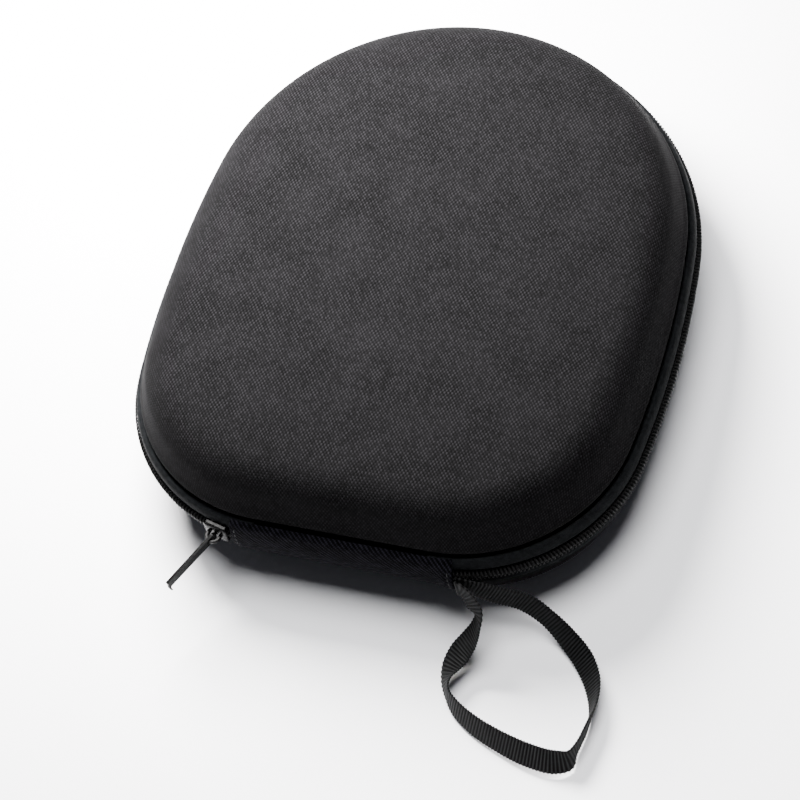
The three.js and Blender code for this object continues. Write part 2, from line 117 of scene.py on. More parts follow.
SLIDER_ANGLE = math.radians(13.8)
SLIDER_HALF_LENGTH = 5.0
SLIDER_HALF_WIDTH = 4.3
SLIDER_CORNER = 1.6
FLANGE_DEPTH = 1.75
BACK_PLATE_THICK = 1.1
BACK_PLATE_LIFT = 3.75
BAIL_PIVOT = 3.0
BAIL_FOOT = 1.45
BAIL_OUTER, BAIL_INNER = 3.1, 1.9
BAIL_WIDTH = 1.5
TAB_HEADING = math.radians(27)
TAB_DROOP = math.radians(5)
TAB_LENGTH = 24.6
TAB_HALF_WIDTH = 1.7
TAB_THICK = 1.15
TAB_EYE = 0.75

# Hinge strip. Over the strap's sewn ends it swells, and its right end is a rolled hem.
STRIP_LEFT = 42.4
STRIP_RIGHT = 43.0
STRIP_STEP = 0.6
STRIP_THICK = 0.65
STRIP_SWELL = 2.4
STRIP_SWELL_RUN = 10.0
LINER_END = 30
LINER_THICK = 0.55
STITCH_LENGTH = 1.9
STITCH_GAP = 0.75
STITCH_RADIUS = 0.17

STRAP_WIDTH = 10.0
STRAP_THICK = 1.2
STRAP_RIB = 1.3

# Net pocket in the lid: the net, its sewn hem and the gathered elastic at its mouth.
NET_INSET = 12.4
NET_HEIGHT = 12.4
NET_END = 11.2
NET_PITCH = 2.0
NET_REPEAT = 4.6
NET_THREAD = (0.46, 0.22)
HEM_WIDTH = 4.2
ELASTIC_START, ELASTIC_END = 10.6, 19.3
ELASTIC_WIDTH = 8.4
ELASTIC_GATHER = 2.4
POCKET_BULGE = 3.0
POCKET_HALF_WIDTH = 84.0
POCKET_START, POCKET_RUN = -100.0, 112.0

# -------- outline


def build_arcs():
    """Arcs of the right half of the outline: (length, radius, heading at start, x, y)."""
    arcs = [(HINGE_FLAT, math.inf, 0.0, 0.0, 0.0)]
    x, y, heading = HINGE_FLAT, 0.0, 0.0
    dome_turn = math.pi - CORNER_TURN - SIDE_TURN
    for radius, turn in ((CORNER_RADIUS, CORNER_TURN), (SIDE_RADIUS, SIDE_TURN), (None, dome_turn)):
        radius = radius or x / math.sin(turn)
        arcs.append((radius * turn, radius, heading, x, y))
        x += radius * (math.sin(heading + turn) - math.sin(heading))
        y += radius * (math.cos(heading) - math.cos(heading + turn))
        heading += turn
    return arcs, y


ARCS, CASE_LENGTH = build_arcs()
HALF_OUTLINE = sum(arc[0] for arc in ARCS)
OUTLINE = 2 * HALF_OUTLINE


def outline_at(distance):
    """Points and outward normals along the outline, from the hinge side's middle to +X."""
    s = np.mod(np.asarray(distance, float), OUTLINE)
    left = s > HALF_OUTLINE
    s = np.where(left, OUTLINE - s, s)
    x, y, heading = np.zeros_like(s), np.zeros_like(s), np.zeros_like(s)
    start = 0.0
    for length, radius, at, x0, y0 in ARCS:
        inside = s >= start - 1e-9
        run = s - start
        if math.isinf(radius):
            x = np.where(inside, x0 + run, x)
            y = np.where(inside, y0, y)
            heading = np.where(inside, at, heading)
        else:
            turned = at + run / radius
            x = np.where(inside, x0 + radius * (np.sin(turned) - math.sin(at)), x)
            y = np.where(inside, y0 + radius * (math.cos(at) - np.cos(turned)), y)
            heading = np.where(inside, turned, heading)
        start += length
    flip = np.where(left, -1.0, 1.0)
    return flip * x, y - CASE_LENGTH / 2, flip * np.sin(heading), -np.cos(heading)


def stations(start, end, step=OUTLINE_STEP):
    """Evenly spaced distances from start to end, going round by the dome if end < start."""
    end = end if end > start else end + OUTLINE
    return np.linspace(start, end, int(math.ceil((end - start) / step)) + 1)


def place(distance, inset, height, side):
    """Points set in from the outline and above the zip's mid-plane; side -1 is the base."""
    x, y, nx, ny = outline_at(distance)
    z = HALF_HEIGHT + side * height + 0 * x
    return np.stack([x - inset * nx, y - inset * ny, z], axis=-1)


# -------- mesh helpers


def add_mesh(name, vertices, faces, smooth=True):
    """A mesh object from points in millimetres."""
    mesh = bpy.data.meshes.new(name)
    points = [tuple(v) for v in np.asarray(vertices, float) * MM]
    mesh.from_pydata(points, [], [tuple(int(i) for i in f) for f in faces])
    mesh.validate()
    mesh.polygons.foreach_set("use_smooth", [smooth] * len(mesh.polygons))
    piece = bpy.data.objects.new(name, mesh)
    bpy.context.scene.collection.objects.link(piece)
    return piece


def grid_faces(rows, columns, closed=False):
    """Quads between neighbouring rings of points, and from last to first if closed."""
    r, c = np.meshgrid(np.arange(rows if closed else rows - 1), np.arange(columns), indexing="ij")
    r2, c2 = (r + 1) % rows, (c + 1) % columns
    quads = np.stack([r * columns + c, r * columns + c2, r2 * columns + c2, r2 * columns + c], axis=-1)
    return quads.reshape(-1, 4).tolist()


def flip_if_inside_out(piece):
    """Turns the faces of a closed mesh outwards."""
    bm = bmesh.new()
    bm.from_mesh(piece.data)
    bmesh.ops.recalc_face_normals(bm, faces=bm.faces)
    if bm.calc_volume(signed=True) < 0:
        bmesh.ops.reverse_faces(bm, faces=bm.faces)
    bm.to_mesh(piece.data)
    bm.free()
    return piece


def sweep(name, *bars, closed=False):
    """Bars through rings of points, each rings x points x 3, with flat ends or closed."""
    faces, offset = [], 0
    for rings in bars:
        rows, columns = rings.shape[:2]
        faces += (np.array(grid_faces(rows, columns, closed)) + offset).tolist()
        if not closed:
            faces.append([offset + i for i in range(columns)][::-1])
            faces.append([offset + (rows - 1) * columns + i for i in range(columns)])
        offset += rows * columns
    return flip_if_inside_out(add_mesh(name, np.vstack([rings.reshape(-1, 3) for rings in bars]), faces))


def set_vector(piece, name, values):
    """Stores a vector for each point, which the materials read by name."""
    layer = piece.data.attributes.new(name, "FLOAT_VECTOR", "POINT")
    layer.data.foreach_set("vector", np.asarray(values, np.float32).ravel())


def smooth_closed(points, repeats):
    """A smooth closed curve through the middle of a coarse polygon's sides."""
    points = np.asarray(points, float)
    for _ in range(repeats):
        ahead = np.roll(points, -1, axis=0)
        near = 0.75 * points + 0.25 * ahead
        far = 0.25 * points + 0.75 * ahead
        points = np.stack([near, far], axis=1).reshape(-1, 2)
    return points


def smooth_open(points, repeats):
    """The same for an open line, which keeps its ends."""
    points = np.asarray(points, float)
    for _ in range(repeats):
        near = 0.75 * points[:-1] + 0.25 * points[1:]
        far = 0.25 * points[:-1] + 0.75 * points[1:]
        middle = np.stack([near, far], axis=1).reshape(-1, points.shape[1])
        points = np.vstack([points[:1], middle, points[-1:]])
    return points


def run_along(line):
    """Distance along a line, at each of its points."""
    return np.concatenate([[0], np.cumsum(np.linalg.norm(np.diff(line, axis=0), axis=1))])


def read_along(at, run, values):
    """Values that a line has at its points, at other distances along it."""
    return np.stack([np.interp(at, run, values[:, k]) for k in range(3)], axis=-1)


def unit(vectors):
    """The same vectors at length 1."""
    return vectors / np.linalg.norm(vectors, axis=-1, keepdims=True)


def section_away(line, turn):
    """The direction across a section's line, turned a quarter to the given side."""
    step = np.gradient(line, axis=0)
    return turn * unit(np.stack([-step[:, 1], step[:, 0]], axis=-1))


def finish_piece(piece, body, slot, material, *nodes):
    """Gives a piece its material and its body, and hides the CAD nodes it stands for. The slot argument is
    not used.
    """
    piece.data.materials.clear()
    piece.data.materials.append(material)
    if body:
        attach(piece, body)
    if nodes:
        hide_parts(*nodes)
    return piece


# -------- camera

CAMERA_AZIMUTH = math.radians(31.8)
CAMERA_ELEVATION = math.radians(57.7)
CAMERA_ROLL = math.radians(-17.8)
CAMERA_DISTANCE = 1368.0
CAMERA_LENS = 163.55
CAMERA_SHIFT_RIGHT = 11.3
CAMERA_SHIFT_UP = 40.2


def add_camera():
    """The viewing angle, with the shift of the aim to the right and up in millimetres."""
    az, el, roll = CAMERA_AZIMUTH, CAMERA_ELEVATION, CAMERA_ROLL
    back = Vector((math.sin(az) * math.cos(el), -math.cos(az) * math.cos(el), math.sin(el)))
    level = Vector((math.cos(az), math.sin(az), 0))
    upright = back.cross(level)
    right = math.cos(roll) * level + math.sin(roll) * upright
    up = -math.sin(roll) * level + math.cos(roll) * upright
    target = Vector((0, 0, HALF_HEIGHT))
    eye = target + CAMERA_DISTANCE * back - CAMERA_SHIFT_RIGHT * right - CAMERA_SHIFT_UP * up
    data = bpy.data.cameras.new("camera")
    data.lens = CAMERA_LENS
    data.sensor_width = 36
    data.clip_start = 0.05
    data.clip_end = 20
    camera = bpy.data.objects.new("camera", data)
    axes = Matrix((right, up, back)).transposed().to_4x4()
    camera.matrix_world = Matrix.Translation(eye * MM) @ axes
    bpy.context.scene.collection.objects.link(camera)
    bpy.context.scene.camera = camera


add_camera()

# -------- node materials


class Nodes:
    """Short names for building one material's nodes."""

    def __init__(self, name):
        self.material = bpy.data.materials.new(name)
        self.material.use_nodes = True
        self.tree = self.material.node_tree
        self.tree.nodes.clear()
        self.shader = self.tree.nodes.new("ShaderNodeBsdfPrincipled")
        output = self.tree.nodes.new("ShaderNodeOutputMaterial")
        self.tree.links.new(self.shader.outputs[0], output.inputs["Surface"])

    def link(self, value, socket):
        if isinstance(value, bpy.types.NodeSocket):
            self.tree.links.new(value, socket)
        else:
            socket.default_value = value

    def math(self, operation, a, b=0.0, c=0.0):
        node = self.tree.nodes.new("ShaderNodeMath")
        node.operation = operation
        for value, socket in zip((a, b, c), node.inputs):
            self.link(value, socket)
        return node.outputs[0]

    def attribute(self, name):
        node = self.tree.nodes.new("ShaderNodeAttribute")
        node.attribute_name = name
        return node.outputs["Vector"]

    def position(self):
        return self.tree.nodes.new("ShaderNodeTexCoord").outputs["Object"]

    def split(self, vector):
        node = self.tree.nodes.new("ShaderNodeSeparateXYZ")
        self.link(vector, node.inputs[0])
        return node.outputs

    def join(self, x, y, z=0.0):
        node = self.tree.nodes.new("ShaderNodeCombineXYZ")
        for value, socket in zip((x, y, z), node.inputs):
            self.link(value, socket)
        return node.outputs[0]

    def noise(self, vector, scale, detail=3.0, rough=0.5):
        node = self.tree.nodes.new("ShaderNodeTexNoise")
        self.link(vector, node.inputs["Vector"])
        node.inputs["Scale"].default_value = scale
        node.inputs["Detail"].default_value = detail
        node.inputs["Roughness"].default_value = rough
        return node.outputs["Fac"]

    def spread(self, value, low, high, to_low, to_high):
        node = self.tree.nodes.new("ShaderNodeMapRange")
        for number, socket in zip((value, low, high, to_low, to_high), node.inputs):
            self.link(number, socket)
        return node.outputs[0]

    def swing(self, noise, reach):
        """The usual range of a noise value, carried to -reach ... reach."""
        return self.spread(noise, 0.3, 0.7, -reach, reach)

    def mix(self, factor, a, b):
        node = self.tree.nodes.new("ShaderNodeMix")
        node.data_type = "RGBA"
        self.link(factor, node.inputs["Factor"])
        self.link(a, node.inputs["A"])
        self.link(b, node.inputs["B"])
        return node.outputs["Result"]

    def bump(self, height, distance, strength=1.0, normal=None):
        node = self.tree.nodes.new("ShaderNodeBump")
        node.inputs["Strength"].default_value = strength
        node.inputs["Distance"].default_value = distance
        self.link(height, node.inputs["Height"])
        if normal is not None:
            self.link(normal, node.inputs["Normal"])
        return node.outputs["Normal"]

    def set(self, **values):
        """Sets the shader's sockets, named with _ for a space."""
        for name, value in values.items():
            self.link(value, self.shader.inputs[name.replace("_", " ")])
        return self.material


def grey(value, warm=0.0):
    """A nearly neutral colour, warmer for warm > 0 and bluer for warm < 0."""
    return (value * (1 + warm), value, value * (1 - warm), 1.0)


def weave_parts(n, u, v, pitch_u, pitch_v):
    """A plain weave over u and v in millimetres: the height of the threads along v where
    they are on top, of those along u where they are, and a random value for each
    crossing."""
    a = n.math("DIVIDE", u, pitch_u)
    b = n.math("DIVIDE", v, pitch_v)
    column, row = n.math("FLOOR", a), n.math("FLOOR", b)
    round_a = n.math("COSINE", n.math("MULTIPLY", n.math("SUBTRACT", n.math("FRACT", a), 0.5), math.pi))
    round_b = n.math("COSINE", n.math("MULTIPLY", n.math("SUBTRACT", n.math("FRACT", b), 0.5), math.pi))
    top = n.math("ABSOLUTE", n.math("MODULO", n.math("ADD", column, row), 2.0))
    under = n.math("SUBTRACT", 1.0, top)
    warp = n.math("MULTIPLY", round_a, n.math("MULTIPLY_ADD", round_b, 0.5, 0.5))
    weft = n.math("MULTIPLY", round_b, n.math("MULTIPLY_ADD", round_a, 0.5, 0.5))
    noise = n.tree.nodes.new("ShaderNodeTexWhiteNoise")
    noise.noise_dimensions = "2D"
    n.link(n.join(column, row), noise.inputs["Vector"])
    return n.math("MULTIPLY", warp, top), n.math("MULTIPLY", weft, under), noise.outputs["Value"]


def nylon_material():
    """Ballistic nylon: a coarse plain weave. The threads across the case catch more light
    than those along it, and no two crossings are quite alike."""
    n = Nodes("ballistic_nylon")
    u, v, _ = n.split(n.attribute("weave"))
    wander = n.swing(n.noise(n.position(), 120, 2.0), 0.18)
    u = n.math("ADD", u, wander)
    v = n.math("ADD", v, wander)
    pitch_u, pitch_v = NYLON_PITCH
    warp, weft, cell = weave_parts(n, u, v, pitch_u, pitch_v)
    wave_u = n.math("SINE", n.math("MULTIPLY", u, math.pi / pitch_u))
    wave_v = n.math("SINE", n.math("MULTIPLY", v, math.pi / pitch_v))
    checker = n.math("MULTIPLY_ADD", n.math("MULTIPLY", wave_u, wave_v), 0.5, 0.5)
    checker = n.math("POWER", checker, 1.7)
    cloud = n.noise(n.position(), 60, 4.0, 0.6)
    height = n.math("ADD", warp, weft)
    lit = n.math("MULTIPLY_ADD", checker, 0.92, n.math("MULTIPLY", height, 0.08))
    lit = n.math("MULTIPLY", lit, n.spread(cell, 0, 1, 0.48, 1.39))
    lit = n.math("ADD", lit, n.swing(cloud, 0.08))
    return n.set(
        Base_Color=n.mix(lit, grey(0.0005), (0.0079, 0.00752, 0.0083, 1)),
        Roughness=1.0,
        Specular_IOR_Level=0.04,
        Normal=n.bump(height, 0.00008, 0.6),
    )


def tape_material(name, tone, pitch, warm=-0.08):
    """Fine woven tape. Its attribute holds the distance along it and across it."""
    n = Nodes(name)
    u, v, _ = n.split(n.attribute("weave"))
    warp, weft, cell = weave_parts(n, u, v, *pitch)
    height = n.math("ADD", warp, weft)
    cloud = n.noise(n.position(), 520, 4.0, 0.65)
    lit = n.math("MULTIPLY", height, n.spread(cell, 0, 1, 0.6, 1.2))
    lit = n.math("ADD", lit, n.swing(cloud, 0.35))
    return n.set(
        Base_Color=n.mix(lit, grey(tone * 0.2, warm), grey(tone, warm)),
        Roughness=0.62,
        Specular_IOR_Level=0.01,
        Normal=n.bump(height, 0.00006, 0.7),
    )


def twill_material():
    """Bluish black hinge webbing with fine slanted ribs."""
    n = Nodes("hinge_twill")
    u, v, _ = n.split(n.attribute("weave"))
    slant = n.math("DIVIDE", n.math("ADD", u, v), TWILL_PITCH)
    rib = n.math("SINE", n.math("MULTIPLY", slant, 2 * math.pi))
    thread = n.math("SINE", n.math("MULTIPLY", n.math("SUBTRACT", u, v), 2 * math.pi / TWILL_THREAD))
    height = n.math("MULTIPLY_ADD", rib, 0.46, n.math("MULTIPLY_ADD", thread, 0.26, 0.42))
    cloud = n.noise(n.position(), 480, 4.0, 0.65)
    lit = n.math("ADD", height, n.swing(cloud, 0.4))
    lit = n.math("POWER", n.math("MAXIMUM", lit, 0.0), 1.8)
    return n.set(
        Base_Color=n.mix(lit, (0.0001, 0.0001, 0.0002, 1), (0.0086, 0.0082, 0.0112, 1)),
        Roughness=0.75,
        Specular_IOR_Level=0.012,
        Normal=n.bump(height, 0.00015, 0.9),
    )


def webbing_material():
    """Black nylon webbing: fine threads along it over the ribs of its mesh, with painted shade between the
    ribs and painted light on their tops.
    """
    n = Nodes("strap_webbing")
    u, v, _ = n.split(n.attribute("weave"))
    thread = n.math("SINE", n.math("MULTIPLY", v, 2 * math.pi / 0.55))
    rib = n.math("SINE", n.math("MULTIPLY_ADD", u, 2 * math.pi / STRAP_RIB, math.pi / 2))
    cloud = n.noise(n.position(), 300, 3.0)
    # Painted shade: the colour is darkest in the grooves between the ribs and lightest on the rib tops.
    factor = n.math("ADD", n.math("MULTIPLY_ADD", rib, -0.62, 0.42), n.math("MULTIPLY", thread, 0.1))
    factor = n.math("ADD", factor, n.swing(cloud, 0.12))
    factor = n.math("POWER", n.math("MAXIMUM", factor, 0.0), 1.5)
    return n.set(
        Base_Color=n.mix(factor, grey(0.0001), grey(0.0150, -0.02)),
        Roughness=0.55,
        Specular_IOR_Level=0.04,
        Normal=n.bump(thread, 0.00005, 0.5),
    )


def coil_material():
    """Black nylon monofilament."""
    n = Nodes("zip_coil_nylon")
    grain = n.noise(n.position(), 900, 2.0)
    return n.set(
        Base_Color=n.mix(grain, grey(0.005), grey(0.014)),
        Roughness=n.spread(grain, 0.3, 0.7, 0.35, 0.5),
        Specular_IOR_Level=0.03,
    )


def metal_material():
    """Black lacquered zinc with worn, slightly rough edges."""
    n = Nodes("black_metal")
    grain = n.noise(n.position(), 700, 3.0)
    wear = n.noise(n.position(), 260, 2.0)
    return n.set(
        Base_Color=n.mix(n.spread(wear, 0.55, 0.75, 0, 1), grey(0.0015), grey(0.004)),
        Roughness=n.spread(grain, 0.3, 0.7, 0.22, 0.32),
        Specular_IOR_Level=0.04,
        Normal=n.bump(grain, 0.00004, 0.3),
    )


def lining_material():
    """Short-pile tricot lining."""
    n = Nodes("tricot_lining")
    pile = n.noise(n.position(), 1400, 3.0, 0.7)
    nap = n.noise(n.position(), 45, 3.0)
    factor = n.math("ADD", n.spread(pile, 0.3, 0.7, 0.1, 0.8), n.spread(nap, 0.35, 0.65, -0.15, 0.15))
    return n.set(
        Base_Color=n.mix(factor, grey(0.003), grey(0.012, -0.02)),
        Roughness=0.95,
        Specular_IOR_Level=0.0,
        Normal=n.bump(pile, 0.00015, 0.6),
    )


def foam_material():
    """Pressed EVA foam, seen only inside the shell's wall."""
    n = Nodes("eva_foam")
    cells = n.noise(n.position(), 1800, 2.0, 0.6)
    return n.set(
        Base_Color=n.mix(cells, grey(0.010), grey(0.022)),
        Roughness=0.9,
        Specular_IOR_Level=0.05,
        Normal=n.bump(cells, 0.00005, 0.5),
    )


def net_material():
    """Knitted polyester net."""
    n = Nodes("pocket_net")
    grain = n.noise(n.position(), 1500, 2.0)
    return n.set(
        Base_Color=n.mix(grain, grey(0.004), grey(0.012)),
        Roughness=0.6,
        Specular_IOR_Level=0.05,
        Normal=n.bump(grain, 0.00005, 0.5),
    )


def thread_material():
    """Twisted polyester sewing thread."""
    n = Nodes("sewing_thread")
    grain = n.noise(n.position(), 2200, 2.0)
    return n.set(
        Base_Color=n.mix(n.spread(grain, 0.35, 0.65, 0, 1), grey(0.003, -0.06), grey(0.014, -0.06)),
        Roughness=0.5,
        Specular_IOR_Level=0.15,
        Normal=n.bump(grain, 0.00004, 0.6),
    )


NYLON = nylon_material()
TAPE = tape_material("zip_tape_weave", 0.0088, TAPE_PITCH)
BINDING = tape_material("binding_weave", 0.006, BINDING_PITCH)
TWILL = twill_material()
WEBBING = webbing_material()
COIL = coil_material()
METAL = metal_material()
LINING = lining_material()
FOAM = foam_material()
NET = net_material()
THREAD = thread_material()

# -------- wrist strap

# Centre line of the webbing and the direction across it, as in the CAD source.
STRAP_ROUTE = [
    ((43.8, -2.6, 29.6), (0, 0, 1)),
    ((46, -3, 29.5), (0, 0, 1)),
    ((49, -4.6, 27.8), (0.45, -0.1, 0.88)),
    ((51.6, -7, 24.8), (0.72, -0.3, 0.62)),
    ((52.9, -9, 21.6), (0.42, -0.47, 0.77)),
    ((52, -11.3, 17.4), (0.58, -0.48, 0.66)),
    ((49.8, -14.5, 13.4), (0.8, -0.42, 0.42)),
    ((46.8, -18.6, 10), (0.93, -0.26, 0.26)),
    ((44.6, -23.4, 7.8), (0.82, -0.16, 0.5)),
    ((44, -28.4, 6.5), (0.5, -0.1, 0.85)),
    ((45.6, -33, 5.8), (0.24, 0, 0.97)),
    ((49.6, -37.6, 5.6), (0.24, 0.18, 0.95)),
    ((58.4, -43.1, 5.4), (0.25, 0.35, 0.9)),
    ((69.4, -47.4, 5.3), (0.18, 0.5, 0.85)),
    ((80.3, -50.3, 5.4), (0.05, 0.62, 0.78)),
    ((90.4, -51.2, 5.6), (-0.12, 0.6, 0.79)),
    ((95.8, -49.2, 5.6), (-0.1, 0.35, 0.93)),
    ((97.4, -44, 5.7), (0.1, 0.06, 0.99)),
    ((98.7, -36, 5.7), (0.16, 0, 0.98)),
    ((99, -28, 5.6), (0.36, 0.06, 0.93)),
    ((96.6, -19, 5), (0.56, 0.27, 0.78)),
    ((91, -10.2, 4.9), (0.64, 0.38, 0.67)),
    ((83.4, -3.6, 6.8), (0.63, 0.3, 0.72)),
    ((75.5, 0.8, 11.4), (0.6, 0.18, 0.77)),
    ((66.9, 2.6, 17.4), (0.5, 0.26, 0.8)),
    ((58.3, 0.8, 23.4), (0.36, 0.24, 0.88)),
    ((51, -0.7, 27.8), (0.2, 0.08, 0.97)),
    ((46.4, -1.05, 29.5), (0, 0, 1)),
    ((43.8, -1.05, 29.6), (0, 0, 1)),
]


def smooth_line(points, per_span):
    """Centripetal Catmull-Rom curve through the points, as the CAD source uses."""
    points = np.asarray(points, float)
    padded = np.vstack([2 * points[0] - points[1], points, 2 * points[-1] - points[-2]])
    result = []
    for i in range(len(points) - 1):
        p0, p1, p2, p3 = padded[i : i + 4]
        t01, t12, t23 = (math.sqrt(np.linalg.norm(b - a)) for a, b in ((p0, p1), (p1, p2), (p2, p3)))
        m1 = (p1 - p0) / t01 - (p2 - p0) / (t01 + t12) + (p2 - p1) / t12
        m2 = (p2 - p1) / t12 - (p3 - p1) / (t12 + t23) + (p3 - p2) / t23
        m1, m2 = m1 * t12, m2 * t12
        last = i == len(points) - 2
        for t in np.linspace(0, 1, per_span + 1)[: per_span + last]:
            a = 2 * t**3 - 3 * t**2 + 1
            b = t**3 - 2 * t**2 + t
            result.append(a * p1 + b * m1 + (1 - a) * p2 + (t**3 - t**2) * m2)
    return np.array(result)


def strap_frame():
    """The webbing's centre line, the directions across and out of it, and its distances."""
    shift = np.array([0, -CASE_LENGTH / 2, 0])
    centre = np.array([at for at, _ in STRAP_ROUTE], float) + shift
    across = unit(np.array([a for _, a in STRAP_ROUTE], float))
    line = smooth_line(centre, 24)
    edge = smooth_line(centre + across, 24)
    rough_run = run_along(line)
    run = np.linspace(0, rough_run[-1], int(round(8 * rough_run[-1] / STRAP_RIB)) + 1)
    line, edge = (read_along(run, rough_run, values) for values in (line, edge))
    tangent = unit(np.gradient(line, axis=0))
    width = edge - line
    width = unit(width - tangent * (width * tangent).sum(1)[:, None])
    return line, width, np.cross(tangent, width), run


def build_strap():
    """Ribbed webbing, a little thinner and narrower between its ribs."""
    line, width, face, run = strap_frame()
    rib = 0.5 - 0.5 * np.cos(2 * math.pi * run / STRAP_RIB)
    half_width = STRAP_WIDTH / 2 - 0.3 + 0.3 * rib
    half_thick = STRAP_THICK / 2 - 0.26 + 0.26 * rib**0.8
    # Section: a flat oval, with more points at its edges.
    turn = np.linspace(0, 2 * math.pi, 24, endpoint=False)
    u = np.sign(np.cos(turn)) * np.abs(np.cos(turn)) ** 0.35
    v = np.sign(np.sin(turn)) * np.abs(np.sin(turn)) ** 0.55
    rings = (
        line[:, None, :]
        + width[:, None, :] * (half_width[:, None] * u[None, :])[..., None]
        + face[:, None, :] * (half_thick[:, None] * v[None, :])[..., None]
    )
    strap = sweep("strap_webbing", rings)
    along = np.repeat(run, len(turn))
    across = (np.ones(len(run))[:, None] * (u * STRAP_WIDTH / 2)[None, :]).ravel()
    set_vector(strap, "weave", np.stack([along, across, 0 * along], axis=-1))
    finish_piece(strap, "base", "strap_webbing", WEBBING, "wrist_strap")


build_strap()

# -------- shells


def edge_profile(depth, crown, steps):
    """Rounded edge and crowned face of a surface at some depth in the wall."""
    slope = math.atan2(2 * crown, CROWN_RUN)
    edge_height = HALF_HEIGHT - EDGE_RADIUS * math.cos(slope)
    edge_inset = (
        WALL_INSET + (edge_height - WALL_START) * math.tan(WALL_DRAFT) + EDGE_RADIUS / math.cos(WALL_DRAFT)
    )
    turn = np.linspace(WALL_DRAFT, math.pi / 2 - slope, steps)
    radius = EDGE_RADIUS - depth
    arc = np.stack([edge_inset - radius * np.cos(turn), edge_height + radius * np.sin(turn)], axis=-1)
    reach = np.linspace(0, 1, steps)[1:]
    rise = crown * (1 - (1 - reach) ** 2)
    top = np.stack([arc[-1, 0] + CROWN_RUN * reach, arc[-1, 1] + rise], axis=-1)
    return arc, top


def outer_profile(depth, crown, steps):
    """From under the zip tape, out of the groove, round the wall's lower edge, up the
    wall and over the edge."""
    arc, top = edge_profile(depth, crown, steps)
    wall_low = WALL_START + 4.4
    wall_inset = WALL_INSET + depth / math.cos(WALL_DRAFT) + (wall_low - WALL_START) * math.tan(WALL_DRAFT)
    lower = [
        (RIM_INSET + depth, RIM_HEIGHT),
        (RIM_INSET + depth + 0.5, GROOVE_HEIGHT - 0.4),
        (RIM_INSET + depth - 0.6, GROOVE_HEIGHT + 1.2),
        (WALL_INSET + depth + 0.2, WALL_START + 1.7),
        (wall_inset, wall_low),
    ]
    lower = smooth_open(lower, 3)
    wall = np.linspace(lower[-1], arc[0], 8)[1:-1]
    return np.vstack([lower, wall, arc, top])


def inner_profile(depth, crown, steps):
    """The same face without the groove."""
    arc, top = edge_profile(depth, crown, steps)
    wall = np.linspace((RIM_INSET + depth, RIM_HEIGHT), arc[0], 8)[:-1]
    return np.vstack([wall, arc, top])


def dish(name, side, outer, inner, crown):
    """A closed shell between two profiles, each from the rim to the face's middle."""
    at = stations(0, OUTLINE)[:-1]
    profile = np.vstack([outer[::-1], inner])
    points = np.stack([place(at, inset, height, side) for inset, height in profile])
    rows, columns = points.shape[:2]
    faces = grid_faces(rows, columns)
    middles = [(0, 0, HALF_HEIGHT + side * half[-1][1]) for half in (outer, inner)]
    vertices = [points.reshape(-1, 3)]
    count = rows * columns
    for row, middle in ((0, middles[0]), (rows - 1, middles[1])):
        # Rings that shrink to the middle keep the face smooth.
        ring = points[row]
        previous = row * columns
        for share in (0.75, 0.5, 0.25):
            blend = share**2
            step = np.array(middle) * (1 - share) + ring * share
            step[:, 2] = middle[2] * (1 - blend) + ring[:, 2] * blend
            vertices.append(step)
            for c in range(columns):
                d = (c + 1) % columns
                faces.append([previous + c, previous + d, count + d, count + c])
            previous = count
            count += columns
        vertices.append(np.array([middle]))
        faces += [[previous + c, previous + (c + 1) % columns, count] for c in range(columns)]
        count += 1
    shell = flip_if_inside_out(add_mesh(name, np.vstack(vertices), faces))
    return shell, at, profile, len(outer)


def lay_weave(shell, at, profile, outer_rows):
    """Cloth coordinates: x and y on the flat face, carried down the edge and the wall by
    the length of the profile."""
    vertices = np.empty(len(shell.data.vertices) * 3, np.float32)
    shell.data.vertices.foreach_get("co", vertices)
    cloth = vertices.reshape(-1, 3) / MM
    x, y, nx, ny = outline_at(at)
    run = run_along(profile)
    flat_end = FACE_ROWS - 1
    for row in range(flat_end, outer_rows):
        reach = run[row] - run[flat_end] - profile[flat_end, 0]
        rows = slice(row * len(at), (row + 1) * len(at))
        cloth[rows, 0] = x + nx * reach
        cloth[rows, 1] = y + ny * reach
    cos, sin = math.cos(CLOTH_TURN), math.sin(CLOTH_TURN)
    cloth[:, :2] = cloth[:, :2] @ np.array([[cos, -sin], [sin, cos]])
    set_vector(shell, "weave", cloth)


def build_shell(prefix, side, crown):
    """One half's skin, pressed foam and lining."""
    rows = HIDDEN_ROWS
    layer = outer_profile(0, crown, FACE_ROWS), outer_profile(COVER_THICK, crown, rows)
    cover, *cloth = dish(f"{prefix}_skin", side, *layer, crown)
    lay_weave(cover, *cloth)
    finish_piece(cover, prefix, "nylon", NYLON, f"{prefix}_cover")
    layer = outer_profile(FOAM_DEPTH, crown, rows), inner_profile(FOAM_DEPTH + FOAM_THICK, crown, rows)
    core = dish(f"{prefix}_core", side, *layer, crown)[0]
    finish_piece(core, prefix, "foam", FOAM, f"{prefix}_shell")
    layer = [inner_profile(LINING_DEPTH + depth, crown, rows) for depth in (0, LINING_THICK)]
    lining = dish(f"{prefix}_inside", side, *layer, crown)[0]
    finish_piece(lining, prefix, "lining", LINING, f"{prefix}_lining")


build_shell("base", -1, 0.0)
build_shell("lid", 1, LID_CROWN)

# -------- zip tapes and binding

# Sections as insets from the outline and heights from the zip's mid-plane.
TAPE_SECTION = [(2.7, 2.4), (1.7, 2.4), (1.1, 3.1), (0.8, 4.3), (0.9, 5.9), (1.5, 7.5)]
TAPE_SECTION += [(2.7, 8.3), (3.5, 7.8), (4.3, 6.6), (4.3, 5.0), (2.9, 3.8)]
PUCKER_HEIGHT = 6.5  # the tape's welt puckers above this
BINDING_SECTION = [(4.8, 4.6), (11, 4.6), (12.4, 11), (11.7, 11), (10.4, 5.1), (4.8, 5.1)]


